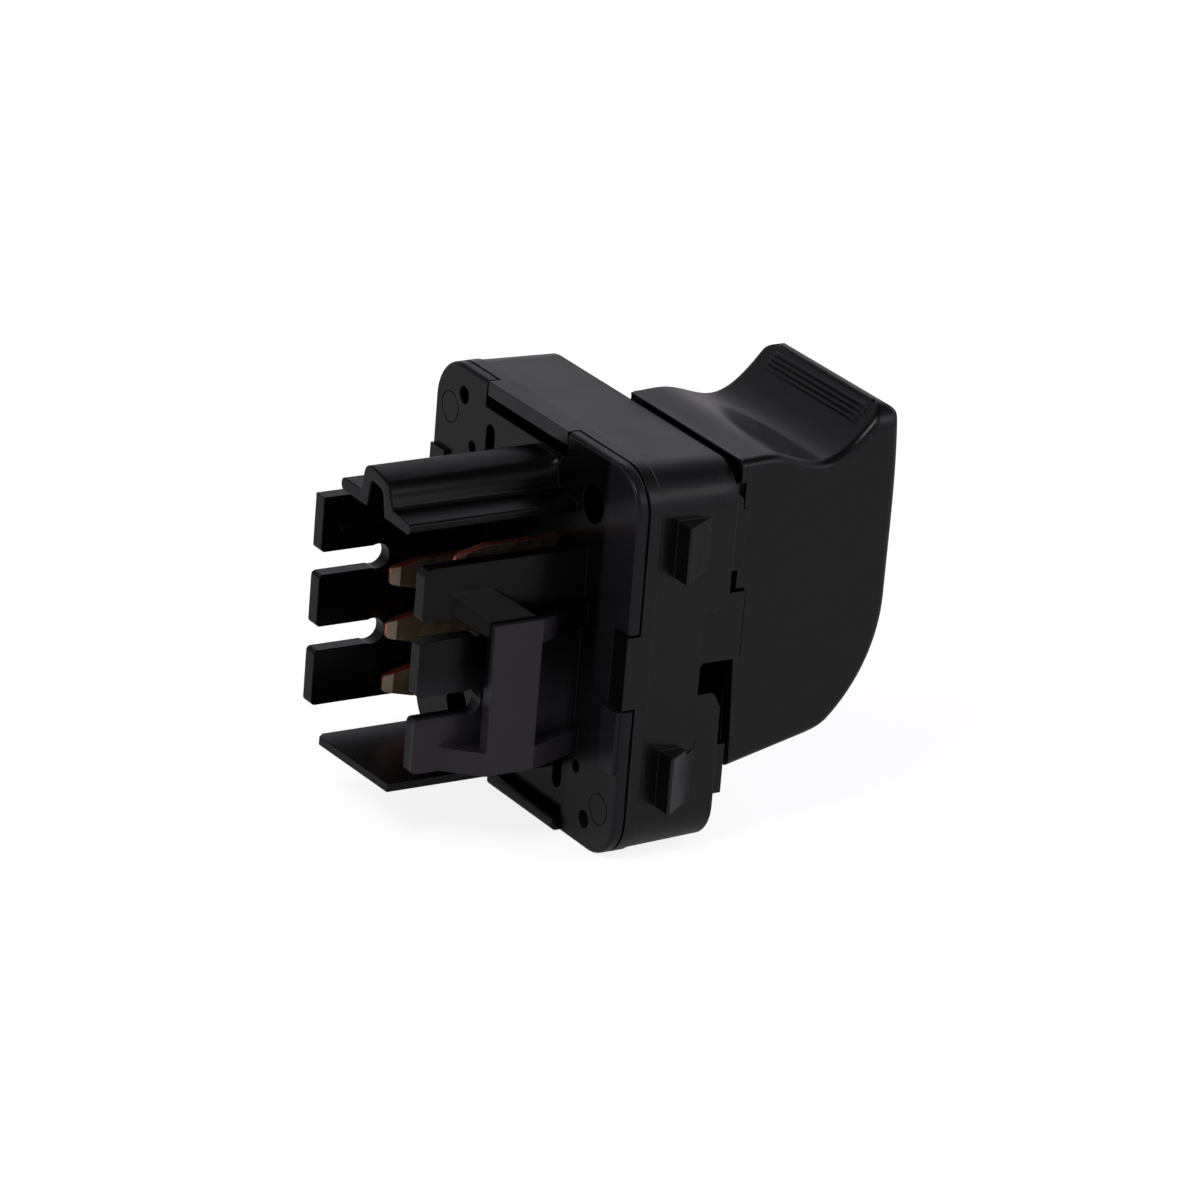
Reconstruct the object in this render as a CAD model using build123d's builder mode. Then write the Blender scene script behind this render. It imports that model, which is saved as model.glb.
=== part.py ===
from build123d import *
import os

os.makedirs("parts", exist_ok=True)

# Power window switch: a sprung rocker on a shallow moulded case, with a four-pin connector behind.
# Millimetres. X is the width, Y runs from the connector (-) to the rocker (+), Z is up.
# The origin is the middle of the rear plate's back face, at the case's bottom end face.

# Case
case_width = 34.2
case_height = 35.5
case_corner = 4.0
plate_thickness = 1.2
band_depth = 1.2
band_step = 0.1
case_front = 10.25
case_draft = 2.0
wall = 1.4
front_edge_round = 0.25
rear_edge_round = 0.35
parting_groove = 0.25
case_half = case_width / 2
face_middle = case_height / 2
cavity_corner = case_corner - wall
seat_gap = 0.05
notch_gap = 0.25

# Rear plate: the lower half of its marks is the upper half turned through 180 degrees
ledge_left = -8.6
ledge_right = 5.2
ledge_slot = 2.4
ledge_thickness = 1.3
lower_ledge_left = -2.9
lower_ledge_right = 8.6
lower_ledge_proud = 0.7
side_notch_bottom = 14.2
side_notch_top = 21.3
side_notch_depth = 2.5
ring_height = 1.1
ring_width = 1.0
locating_hole = (case_half - 7.3, case_height - 4.9)
locating_hole_diameter = 3.4
vent_hole = (4.8 - case_half, case_height - 2.6)
vent_hole_diameter = 1.6
pin_hole = (6.7 - case_half, case_height - 6.8)
pin_hole_diameter = 1.2
cored_slot_x = -7.5
cored_slot_width = 1.5
cored_slot_top = case_height - 3.7
cored_slot_length = 3.6
ejector_mark = (2.6 - case_half, case_height - 4.4)
ejector_diameter = 2.9
mark_depth = 0.12
rim_pad_bottom = 8.4
rim_pad_width = 2.4
rim_pad_proud = 0.4

# Connector shroud: four separate cantilevered walls
near_wall_outer = 9.6
far_wall_outer = -8.5
side_wall_bottom = 8.0
near_wall_top = 26.6
far_wall_top = 27.25
near_wall_reach = 15.95
far_wall_reach = 16.45
near_wall_slots = ((20.0, 21.8), (12.9, 15.0))
far_wall_slots = ((20.1, 22.2), (13.1, 15.3))
finger_slot_root = 9.6
finger_root_clearance = 0.1
finger_tip_round = 0.4
near_wall_corner = 0.9
roof_left = -4.4
roof_right = 7.4
roof_bottom = 29.1
roof_thickness = 1.1
roof_reach = 16.45
key_left = -1.05
key_right = 4.2
key_top = 32.75
key_slope = 0.5
floor_left = -5.5
floor_right = 6.4
floor_bottom = 5.2
floor_thickness = 0.75
floor_reach = 16.3
polarising_rib = 0.3
polarising_rib_z = 24.3

# Latch strap on the near wall
strap_outer = 12.4
strap_thickness = 1.2
strap_bottom = 8.1
strap_top = 21.8
strap_leg = 2.1
strap_bar_front = -10.35
strap_bar_back = -5.6
strap_foot_front = -13.6
strap_foot_back = -0.5

# Blade terminals: 2.8 mm blades on a 5 mm pitch
blade_width = 2.8
blade_thickness = 0.8
blade_pitch = 5.0
blade_tip = -10.1
blade_taper_start = -7.15
blade_tip_width = 1.4
blade_tip_thickness = 0.3
blade_tip_bevel = 0.9
blade_tip_round = 0.35
far_row_x = -6.0
near_row_x = 4.5
battery_z = 19.6
ground_z = battery_z - blade_pitch
motor_down_z = battery_z - 2 * blade_pitch
motor_up_z = battery_z + blade_pitch

# Rocker
rocker_left = -2.8
rocker_right = case_half - 0.75
rocker_wall = 1.4
pivot_y = 9.2
pivot_z = 19.8
rocker_rear = (11.1, 35.45)
deck_lip_rear = 10.55
deck_lip_thickness = 0.25
deck_knee = (14.4, 35.48)
scoop = (18.9, 34.38)
nose_y = 25.2
nose_z = 38.55
nose_radius = 1.05
belly_radius = 15.2
belly_centre = (11.4, 21.25)
rocker_front_y = belly_centre[0] + belly_radius
front_lean = 0.2
underside_rear = (11.7, 7.22)
underside_front = (19.2, 9.03)
slit_z = 23.92
slit_height = 0.36
slit_end_y = 11.75
rear_wall_low = 11.25
rear_wall_at_slit = 10.86
ear_seam = (11.85, 11.95)
seam_depth = 0.1
nose_side_round = 2.0
rocker_edge_round = 0.8
grip_rib_count = 5
grip_rib_radius = 0.2
grip_rib_pitch = 0.5
grip_rib_margin = 2.3

# Ear and pivot: the ears snap over two pylons of the housing
ear_bottom = 17.4
ear_gap = 0.25
ear_notch_top = 25.75
pivot_pin_diameter = 2.8
pivot_running_fit = 0.05
pivot_pin_length = 1.3
pylon_radius = 2.6
pylon_width = 1.4
pylon_gap = 0.15
pylon_foot = 0.8
skirt_top = 33.4
skirt_rear = 9.95
skirt_front = 11.6
skirt_thickness = 0.9
guard_lip_top = 31.3
guard_lip_front = 11.15
guard_lip_thickness = 0.3
guard_lip_gap = 0.05

# Well behind the rocker
panel_back = 7.8
panel_front = 9.0
well_left = -3.2
well_right = rocker_right + guard_lip_gap
well_bottom = 9.9
well_top = 34.2
pad_bottom = 5.2
pad_top = 9.75
pad_front = 10.9

# Snap lugs on the side faces
lug_rear = 4.13
lug_front = 7.7
lug_proud = 1.9
lug_height = 5.1
lug_low = 5.0
lug_high = case_height - 9.5
side_mark = (7.1, 10.3)
side_mark_diameter = 1.5

# Plungers and their springs
plunger_x = 6.8
plunger_arm = 7.5
plunger_diameter = 3.0
plunger_slide_fit = 0.04
plunger_head_diameter = 4.8
plunger_head_top = 12.6
plunger_head_thickness = 0.8
plunger_collar_diameter = 3.9
plunger_collar_drop = 0.55
plunger_nose_diameter = 2.0
spring_wire = 0.35
spring_coil_radius = 1.95
spring_turns = 3.5
leg_radius = 0.6
leg_width = 2.4
touch_gap = 0.01

# Contacts
strip = 0.8
strip_back = plate_thickness
leaf_back = 4.0
leaf_thickness = 0.25
leaf_width = 3.2
leaf_tip_x = -1.3
leaf_root_x = case_half - wall - ring_width - 0.3
contact_x = 0.0
rivet_x = leaf_root_x - 1.5
pad_edge_x = leaf_root_x - 3.8
contact_diameter = 2.2
contact_shank = 1.0
moving_head = 0.6
contact_opening = 0.4
bus_back = leaf_back + leaf_thickness + moving_head + 0.75
bus_half = 1.3
post_x = -3.8
post_width = 1.6
rivet_diameter = 1.5
rivet_head = 2.3
rivet_head_height = 0.4
rivet_recess = 2.6

switch_levels = {"up": pivot_z + plunger_arm, "down": pivot_z - plunger_arm}


def across(y):
    """Sketch plane at depth y, drawn as seen from the connector: local X is width, local Y is height."""
    return Plane.XZ.offset(-y)


def along(x):
    """Sketch plane at width x: local X is depth, local Y is height."""
    return Plane.YZ.offset(x)


def box_between(x0, x1, y0, y1, z0, z1, mode=Mode.ADD):
    """Box between two corners."""
    with Locations(((x0 + x1) / 2, (y0 + y1) / 2, (z0 + z1) / 2)):
        Box(x1 - x0, y1 - y0, z1 - z0, mode=mode)


def turned(point):
    """The same mark turned through 180 degrees about the middle of the rear face."""
    return (-point[0], case_height - point[1])


# Side profile of the rocker, seen from the near side: deck, finger scoop, beak, belly, underside
nose_centre_z = nose_z - nose_radius
with BuildSketch(Plane.YZ) as rocker_profile:
    with BuildLine():
        deck = Spline(
            rocker_rear,
            deck_knee,
            scoop,
            (nose_y - nose_radius * 0.751, nose_centre_z + nose_radius * 0.66),
            tangents=((1, 0.02), (0.66, 0.751)),
        )
        nose = ThreePointArc(
            deck @ 1,
            (nose_y + nose_radius * 0.2, nose_centre_z + nose_radius * 0.98),
            (nose_y + nose_radius * 0.98, nose_centre_z + nose_radius * 0.2),
        )
        front = Spline(
            nose @ 1,
            (rocker_front_y - front_lean, nose_z - 2 * nose_radius - front_lean),
            (rocker_front_y, belly_centre[1]),
            tangents=(nose % 1, (0, -1)),
        )
        belly = ThreePointArc(
            front @ 1,
            (belly_centre[0] + belly_radius * 0.928, belly_centre[1] - belly_radius * 0.372),
            (belly_centre[0] + belly_radius * 0.682, belly_centre[1] - belly_radius * 0.731),
        )
        corner = Spline(
            belly @ 1,
            underside_front,
            tangents=(belly % 1, (-1, -0.244)),
        )
        Polyline(
            corner @ 1,
            underside_rear,
            (rear_wall_low, ear_bottom),
            (rear_wall_low, slit_z),
            (rear_wall_at_slit, slit_z),
            deck @ 0,
        )
    make_face()

# Outline of the notch in the housing's side wall, which the rocker's ear fills
with BuildSketch(Plane.YZ) as ear_notch:
    with BuildLine():
        Polyline(
            (13.0, ear_notch_top),
            (10.05, ear_notch_top),
            (10.05, 22.15),
            (7.42, 21.95),
            (7.6, 14.7),
            (9.3, 14.7),
            (10.1, 13.2),
            (10.15, well_bottom),
            (13.0, well_bottom),
            close=True,
        )
    make_face()
    shoulder, throat = ear_notch.vertices().filter_by(lambda v: 21.9 < v.Y < 22.2).sort_by(Axis.X)[::-1]
    fillet([shoulder, throat], 0.7)
    fillet(ear_notch.vertices().filter_by(lambda v: abs(v.X - 9.3) < 0.02), 0.5)

# Rear plate, connector shroud and latch strap: one moulding
with BuildPart() as base:
    with BuildSketch(across(0)):
        with Locations((0, face_middle)):
            RectangleRounded(case_width, case_height, case_corner)
    extrude(amount=-plate_thickness)
    fillet(base.faces().sort_by(Axis.Y)[0].edges(), rear_edge_round)

    # groove round the parting line with the housing
    with BuildSketch(across(plate_thickness - parting_groove)):
        with Locations((0, face_middle)):
            Rectangle(case_width + 2, case_height + 2)
            RectangleRounded(
                case_width - 2 * parting_groove,
                case_height - 2 * parting_groove,
                case_corner - parting_groove,
                mode=Mode.SUBTRACT,
            )
    extrude(amount=-parting_groove, mode=Mode.SUBTRACT)

    # locating ring that enters the housing
    with BuildSketch(across(plate_thickness)) as ring:
        with Locations((0, face_middle)):
            inner_width = case_width - 2 * wall - 2 * seat_gap
            inner_height = case_height - 2 * wall - 2 * seat_gap
            RectangleRounded(inner_width, inner_height, cavity_corner)
            RectangleRounded(
                inner_width - 2 * ring_width,
                inner_height - 2 * ring_width,
                cavity_corner - ring_width,
                mode=Mode.SUBTRACT,
            )
    extrude(amount=-ring_height)

    # notches for the housing's ledges and side tongues
    with BuildSketch(across(-1)):
        with Locations(((ledge_left + ledge_right) / 2, case_height - ledge_slot / 2)):
            Rectangle(ledge_right - ledge_left, ledge_slot)
        with Locations(((lower_ledge_left + lower_ledge_right) / 2, ledge_slot / 2)):
            Rectangle(lower_ledge_right - lower_ledge_left, ledge_slot)
        notch_middle = (case_half - side_notch_depth / 2, (side_notch_bottom + side_notch_top) / 2)
        with Locations(notch_middle, turned(notch_middle)):
            Rectangle(side_notch_depth, side_notch_top - side_notch_bottom)
    extrude(amount=-(plate_thickness + ring_height + 2), mode=Mode.SUBTRACT)

    # holes and cored slots, in pairs about the middle of the face
    with BuildSketch(across(-1)):
        with Locations(locating_hole, turned(locating_hole)):
            Circle(locating_hole_diameter / 2)
        with Locations(vent_hole, turned(vent_hole)):
            Circle(vent_hole_diameter / 2)
        with Locations(pin_hole, turned(pin_hole)):
            Circle(pin_hole_diameter / 2)
        slot_middle = (cored_slot_x, cored_slot_top - cored_slot_length / 2)
        with Locations(slot_middle, turned(slot_middle)):
            SlotOverall(cored_slot_length, cored_slot_width, rotation=90)
    extrude(amount=-(plate_thickness + 1), mode=Mode.SUBTRACT)
    with BuildSketch(across(0)):
        with Locations(ejector_mark, turned(ejector_mark)):
            Circle(ejector_diameter / 2)
            Circle(ejector_diameter / 2 - mark_depth, mode=Mode.SUBTRACT)
    extrude(amount=-mark_depth, mode=Mode.SUBTRACT)

    # proud strips of the rim below the near notch and above the far one
    with BuildSketch(across(0)):
        pad_height = side_notch_bottom - rim_pad_bottom
        pad_middle = (
            case_half - rim_pad_width / 2 - rear_edge_round,
            rim_pad_bottom + pad_height / 2,
        )
        with Locations(pad_middle, turned(pad_middle)):
            Rectangle(rim_pad_width, pad_height - 2 * seat_gap)
    extrude(amount=rim_pad_proud)

    # side walls of the shroud, split into fingers by slots with round roots
    for outer, inward, reach, top, slots in (
        (near_wall_outer, -1, near_wall_reach, near_wall_top, near_wall_slots),
        (far_wall_outer, 1, far_wall_reach, far_wall_top, far_wall_slots),
    ):
        with BuildSketch(along(outer)):
            with Locations((-reach / 2, (side_wall_bottom + top) / 2)):
                Rectangle(reach, top - side_wall_bottom)
            for low, high in slots:
                middle = (low + high) / 2
                root_radius = (high - low) / 2 + finger_root_clearance
                root_y = -finger_slot_root - root_radius
                with Locations(((root_y - reach - 1) / 2, middle)):
                    Rectangle(reach + 1 + root_y, high - low, mode=Mode.SUBTRACT)
                with Locations((root_y, middle)):
                    Circle(root_radius, mode=Mode.SUBTRACT)
        extrude(amount=inward * wall)
    tips = base.edges().filter_by(Axis.X).filter_by(lambda e: e.center().Y < 0.5 - near_wall_reach)
    fillet(tips.filter_by(lambda e: abs(e.center().Z - near_wall_top) < 0.1), near_wall_corner)
    fillet(tips.filter_by(lambda e: e.center().Z < near_wall_top - 1), finger_tip_round)

    # roof with the hollow keying hump
    roof_top = roof_bottom + roof_thickness
    with BuildSketch(across(0)) as roof:
        with BuildLine():
            Polyline(
                (roof_left, roof_bottom),
                (key_left + roof_thickness, roof_bottom),
                (key_left + key_slope + roof_thickness, key_top - roof_thickness),
                (key_right - key_slope - roof_thickness, key_top - roof_thickness),
                (key_right - roof_thickness, roof_bottom),
                (roof_right, roof_bottom - 0.1),
                (roof_right, roof_top - 0.3),
                (key_right, roof_top),
                (key_right - key_slope, key_top),
                (key_left + key_slope, key_top),
                (key_left, roof_top),
                (roof_left, roof_top),
                close=True,
            )
        make_face()
        fillet(roof.vertices().filter_by(lambda v: abs(v.Y - key_top) < 0.1), 0.95)
        fillet(roof.vertices().filter_by(lambda v: abs(v.Y - key_top + roof_thickness) < 0.1), 0.5)
        feet = roof.vertices().filter_by(lambda v: abs(v.Y - roof_top) < 0.1)
        fillet(feet.filter_by(lambda v: key_left - 0.5 < v.X < key_right + 0.5), 0.5)
        fillet(roof.vertices().sort_by(Axis.X)[-2:], 0.35)
        fillet(roof.vertices().sort_by(Axis.X)[:2], 0.5)
    extrude(amount=roof_reach)

    # floor
    with BuildSketch(Plane.XY.offset(floor_bottom)) as floor_outline:
        with BuildLine():
            Polyline(
                (floor_left, 0),
                (floor_left, -floor_reach + 0.3),
                (floor_left + 0.5, -floor_reach - 0.3),
                (floor_right, -floor_reach),
                (floor_right, 0),
                close=True,
            )
        make_face()
    extrude(amount=floor_thickness)

    # fine rib on the inside of the far wall's upper finger
    box_between(
        far_wall_outer + wall, far_wall_outer + wall + polarising_rib,
        -14.7, 0,
        polarising_rib_z - polarising_rib / 2, polarising_rib_z + polarising_rib / 2,
    )

    # latch strap: two slanted legs carry a bar clear of the wall, so the mating latch passes inside it
    strap_inner = strap_outer - strap_thickness
    for low, high in ((strap_bottom, strap_bottom + strap_leg), (strap_top - strap_leg, strap_top)):
        with BuildSketch(Plane.XY.offset(low)):
            with BuildLine():
                Polyline(
                    (near_wall_outer - 0.4, strap_foot_back - 1.5),
                    (near_wall_outer - 0.4, strap_foot_back + 0.5),
                    (near_wall_outer + 0.7, strap_foot_back + 0.5),
                    (strap_outer, strap_bar_back),
                    (strap_outer, strap_bar_back - 1.5),
                    (strap_inner, strap_bar_back - 1.5),
                    (strap_inner, strap_bar_back),
                    (near_wall_outer, strap_foot_back - 1.5),
                    close=True,
                )
            make_face()
        extrude(amount=high - low)
    box_between(strap_inner, strap_outer, strap_bar_front, strap_bar_back, strap_bottom, strap_top)
    with BuildSketch(Plane.XY.offset(strap_bottom)):
        with BuildLine():
            Polyline(
                (near_wall_outer - 0.4, strap_foot_front),
                (near_wall_outer, strap_foot_front),
                (strap_outer, strap_bar_front),
                (strap_outer, strap_bar_front + 1.4),
                (strap_inner, strap_bar_front + 1.4),
                (near_wall_outer - 0.4, strap_foot_front + 1.6),
                close=True,
            )
        make_face()
    extrude(amount=strap_leg)
    with BuildSketch(along(near_wall_outer - 0.2)):
        with Locations((-11.6, 23.5)):
            Rectangle(4.2, 1.8)
    with BuildSketch(along(strap_inner + 0.2)):
        with Locations(((strap_bar_front + strap_bar_back) / 2, strap_top - 0.7)):
            Rectangle(strap_bar_back - strap_bar_front, 1.4)
    loft()

    # pedestals under the leaf roots and posts under the ground bus
    for level in switch_levels.values():
        box_between(
            pad_edge_x + strip, leaf_root_x,
            plate_thickness, leaf_back - strip,
            level - leaf_width / 2, level + leaf_width / 2,
        )
        with Locations(Plane(origin=(rivet_x, leaf_back - strip, level), z_dir=(0, 1, 0))):
            Hole(rivet_recess / 2, depth=strip)
        box_between(
            post_x - post_width / 2, post_x + post_width / 2,
            plate_thickness, bus_back,
            level - bus_half, level + bus_half,
        )

    # slots that the blades are moulded into
    for x, z in (
        (far_row_x, battery_z),
        (far_row_x, ground_z),
        (far_row_x, motor_down_z),
        (near_row_x, motor_up_z),
    ):
        box_between(
            x - blade_thickness / 2, x + blade_thickness / 2,
            -1, plate_thickness + 1,
            z - blade_width / 2, z + blade_width / 2,
            mode=Mode.SUBTRACT,
        )
base.part.label = "base"
export_step(base.part, "parts/base.step")

# Housing: a rimmed, drafted box, open behind, with the well and pylons for the rocker in front
with BuildPart() as housing:
    band_front = plate_thickness + band_depth
    with BuildSketch(across(plate_thickness)):
        with Locations((0, face_middle)):
            RectangleRounded(case_width, case_height, case_corner)
    extrude(amount=-band_depth)
    with BuildSketch(across(band_front)):
        with Locations((0, face_middle)):
            RectangleRounded(case_width - 2 * band_step, case_height - 2 * band_step, case_corner - band_step)
    extrude(amount=-(case_front - band_front), taper=case_draft)
    front_edges = housing.faces().sort_by(Axis.Y)[-1].edges()
    fillet(front_edges, front_edge_round)

    # cavity behind the panel, deeper behind the plain part of the front
    with BuildSketch(across(plate_thickness)):
        with Locations((0, face_middle)):
            RectangleRounded(case_width - 2 * wall, case_height - 2 * wall, cavity_corner)
    extrude(amount=-(panel_back - plate_thickness), mode=Mode.SUBTRACT)
    far_inner = wall + 0.3 - case_half
    box_between(
        far_inner, well_left - wall,
        panel_back - 0.5, case_front - wall,
        cavity_corner, case_height - cavity_corner,
        mode=Mode.SUBTRACT,
    )

    # landing pad under the rocker's lower edge
    box_between(
        well_left, case_half - 0.4,
        case_front - 1, pad_front,
        pad_bottom, pad_top,
    )

    # well
    box_between(
        well_left, well_right,
        panel_front, case_front + 2,
        well_bottom, well_top,
        mode=Mode.SUBTRACT,
    )

    # pylons with the pivot bores
    near_pylon_x = rocker_right - rocker_wall - pylon_gap - pylon_width
    far_pylon_x = rocker_left + rocker_wall + pylon_gap
    for x in (near_pylon_x, far_pylon_x):
        with BuildSketch(along(x)):
            with Locations((pivot_y, pivot_z)):
                Circle(pylon_radius)
            with Locations(((panel_back + pivot_y) / 2, pivot_z)):
                Rectangle(pivot_y - panel_back, 2 * (pylon_radius + pylon_foot))
        extrude(amount=pylon_width)

    # slots for the ears: through the side wall on the near side, through the panel on the far side
    with BuildSketch(along(near_pylon_x + pylon_width)):
        add(ear_notch.sketch_local)
    extrude(amount=4, mode=Mode.SUBTRACT)
    box_between(
        well_left, far_pylon_x,
        panel_back - 1, panel_front + 1,
        ear_bottom - 2.7, slit_z,
        mode=Mode.SUBTRACT,
    )

    # guard lip that overlaps the rocker's near side above the ear
    box_between(
        well_right, well_right + guard_lip_thickness,
        panel_front, guard_lip_front,
        ear_notch_top, guard_lip_top,
    )
    bore_diameter = pivot_pin_diameter + 2 * pivot_running_fit
    with BuildSketch(along(far_pylon_x - 1)):
        with Locations((pivot_y, pivot_z)):
            Circle(bore_diameter / 2)
    extrude(amount=near_pylon_x + pylon_width - far_pylon_x + 1, mode=Mode.SUBTRACT)

    # guide holes of the plungers
    for level in switch_levels.values():
        with Locations(Plane(origin=(plunger_x, panel_front, level), z_dir=(0, 1, 0))):
            Hole(plunger_diameter / 2 + plunger_slide_fit, depth=3)

    # ledges and side tongues that close the plate's notches
    box_between(
        ledge_left + notch_gap, ledge_right - notch_gap,
        0, plate_thickness + 0.5,
        case_height - ledge_thickness, case_height,
    )
    with BuildSketch(along(lower_ledge_left + notch_gap)) as lower_ledge:
        with Locations(((plate_thickness + 0.5 - lower_ledge_proud) / 2, ledge_thickness / 2)):
            Rectangle(plate_thickness + 0.5 + lower_ledge_proud, ledge_thickness)
        fillet(lower_ledge.vertices().sort_by(Axis.X)[:2], 0.5)
    extrude(amount=lower_ledge_right - lower_ledge_left - 2 * notch_gap)
    for side in (1, -1):
        inner_x = side * (case_half - wall)
        outer_x = side * case_half
        low = side_notch_bottom if side > 0 else case_height - side_notch_top
        box_between(
            min(inner_x, outer_x), max(inner_x, outer_x),
            -0.1, plate_thickness + 0.5,
            low + notch_gap, low + side_notch_top - side_notch_bottom - notch_gap,
        )

    # snap lugs: square behind, ramped towards the front
    side_x = case_half - band_step
    for side in (1, -1):
        for low in (lug_low, lug_high):
            bottom = low if side > 0 else case_height - low - lug_height
            with BuildSketch(Plane.XY.offset(bottom)):
                with BuildLine():
                    Polyline(
                        (side * (side_x - 0.8), lug_rear),
                        (side * (side_x + lug_proud), lug_rear),
                        (side * (side_x + lug_proud), lug_rear + 0.3),
                        (side * (side_x - 0.3), lug_front),
                        (side * (side_x - 0.8), lug_front),
                        close=True,
                    )
                make_face()
            extrude(amount=lug_height)
    with BuildSketch(along(case_half - 0.35)):
        with Locations(side_mark):
            Circle(side_mark_diameter / 2)
    extrude(amount=1, mode=Mode.SUBTRACT)
housing.part.label = "housing"
export_step(housing.part, "parts/housing.step")

# Rocker: a hollow key with a finger scoop and a ribbed beak
with BuildPart() as rocker:
    with BuildSketch(along(rocker_left)):
        add(rocker_profile.sketch_local)
    extrude(amount=rocker_right - rocker_left)
    sides = rocker.edges().filter_by(
        lambda e: e.center().X > rocker_right - 0.01 or e.center().X < rocker_left + 0.01
    )
    fillet(sides.filter_by(lambda e: e.center().Y > underside_rear[0] + 0.3), rocker_edge_round)

    # the beak's upper corners are rounded off
    rocker_width = rocker_right - rocker_left
    rocker_middle = (rocker_left + rocker_right) / 2
    with BuildSketch(across(scoop[0])):
        with Locations((rocker_middle, nose_z + 1)):
            Rectangle(rocker_width + 2, 2 * nose_side_round + 2)
        with Locations((rocker_middle, nose_z / 2)):
            RectangleRounded(rocker_width, nose_z, nose_side_round, mode=Mode.SUBTRACT)
    extrude(amount=scoop[0] - rocker_front_y - 1, mode=Mode.SUBTRACT)

    # thin lip of the deck that covers the gap over the housing's front edge
    box_between(
        rocker_left + rocker_edge_round, rocker_right - rocker_edge_round,
        deck_lip_rear, rocker_rear[0] + deck_lip_thickness,
        rocker_rear[1] - deck_lip_thickness, rocker_rear[1],
    )

    # hollow, open behind, with a wall of even thickness that follows the skin
    with BuildSketch(along(rocker_left + rocker_wall)) as hollow:
        inner_radius = belly_radius - rocker_wall
        inner_front = rocker_front_y - rocker_wall
        with BuildLine():
            inner_belly = ThreePointArc(
                (inner_front, belly_centre[1]),
                (belly_centre[0] + inner_radius * 0.928, belly_centre[1] - inner_radius * 0.372),
                (belly_centre[0] + inner_radius * 0.682, belly_centre[1] - inner_radius * 0.731),
            )
            Polyline(
                inner_belly @ 1,
                (underside_front[0], underside_front[1] + rocker_wall),
                (underside_rear[0], underside_rear[1] + rocker_wall),
                (skirt_rear - 1, underside_rear[1] + rocker_wall),
                (skirt_rear - 1, rocker_rear[1] - rocker_wall),
                (deck_knee[0], deck_knee[1] - rocker_wall - front_lean),
                (scoop[0] - rocker_wall, scoop[1] - rocker_wall),
                (scoop[0] + rocker_wall, scoop[1] - rocker_wall),
                (inner_front - rocker_wall - front_lean, nose_z - 2.5 * rocker_wall),
                (inner_front - front_lean, nose_z - 2.5 * rocker_wall),
                inner_belly @ 0,
            )
        make_face()
    extrude(amount=rocker_right - rocker_left - 2 * rocker_wall, mode=Mode.SUBTRACT)

    # ears with stub pins
    for x, pin_start in (
        (rocker_right - rocker_wall, rocker_right - rocker_wall - pivot_pin_length),
        (rocker_left, rocker_left + rocker_wall),
    ):
        with BuildSketch(along(x)):
            add(ear_notch.sketch_local)
            offset(amount=-ear_gap, mode=Mode.REPLACE)
            with Locations((pivot_y, (ear_bottom + slit_z - slit_height) / 2)):
                Rectangle(2 * (rear_wall_low - pivot_y), slit_z - slit_height - ear_bottom, mode=Mode.INTERSECT)
        extrude(amount=rocker_wall)
        with BuildSketch(along(pin_start)):
            with Locations((pivot_y, pivot_z)):
                Circle(pivot_pin_diameter / 2)
        extrude(amount=pivot_pin_length)

    # slits above the ears, and the ear's seam on the near side
    for x in (rocker_left, rocker_right - rocker_wall):
        box_between(
            x, x + rocker_wall,
            rear_wall_at_slit, slit_end_y,
            slit_z - slit_height, slit_z,
            mode=Mode.SUBTRACT,
        )
    box_between(
        rocker_right - seam_depth, rocker_right,
        ear_seam[0], ear_seam[1],
        ear_bottom, slit_z - slit_height,
        mode=Mode.SUBTRACT,
    )

    # skirts inside the housing's lips
    for x in (rocker_left + rocker_wall - skirt_thickness, rocker_right - rocker_wall):
        box_between(x, x + skirt_thickness, skirt_rear, skirt_front, ear_notch_top, skirt_top)

    # legs that press the plungers
    with BuildSketch(along(plunger_x - leg_width / 2)):
        add(rocker_profile.sketch_local)
        tip_y = plunger_head_top + touch_gap + leg_radius
        with BuildSketch(mode=Mode.INTERSECT):
            leg_reach = rocker_front_y - tip_y
            with Locations(*[(tip_y + leg_reach / 2, level) for level in switch_levels.values()]):
                Rectangle(leg_reach, 2 * leg_radius)
            with Locations(*[(tip_y, level) for level in switch_levels.values()]):
                Circle(leg_radius)
    extrude(amount=leg_width)

    # fine grip ribs on the beak: the first on its crest, the rest down its finger side
    for index in range(grip_rib_count):
        if index == 0:
            spot = nose.position_at(grip_rib_pitch, position_mode=PositionMode.LENGTH)
        else:
            place = deck.length - grip_rib_pitch * (index - 0.4)
            spot = deck.position_at(place, position_mode=PositionMode.LENGTH)
        with BuildSketch(along(rocker_left + grip_rib_margin)):
            with Locations((spot.X, spot.Y)):
                Circle(grip_rib_radius)
        extrude(amount=rocker_right - rocker_left - 2 * grip_rib_margin)
rocker.part.label = "rocker"
export_step(rocker.part, "parts/rocker.step")


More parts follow.
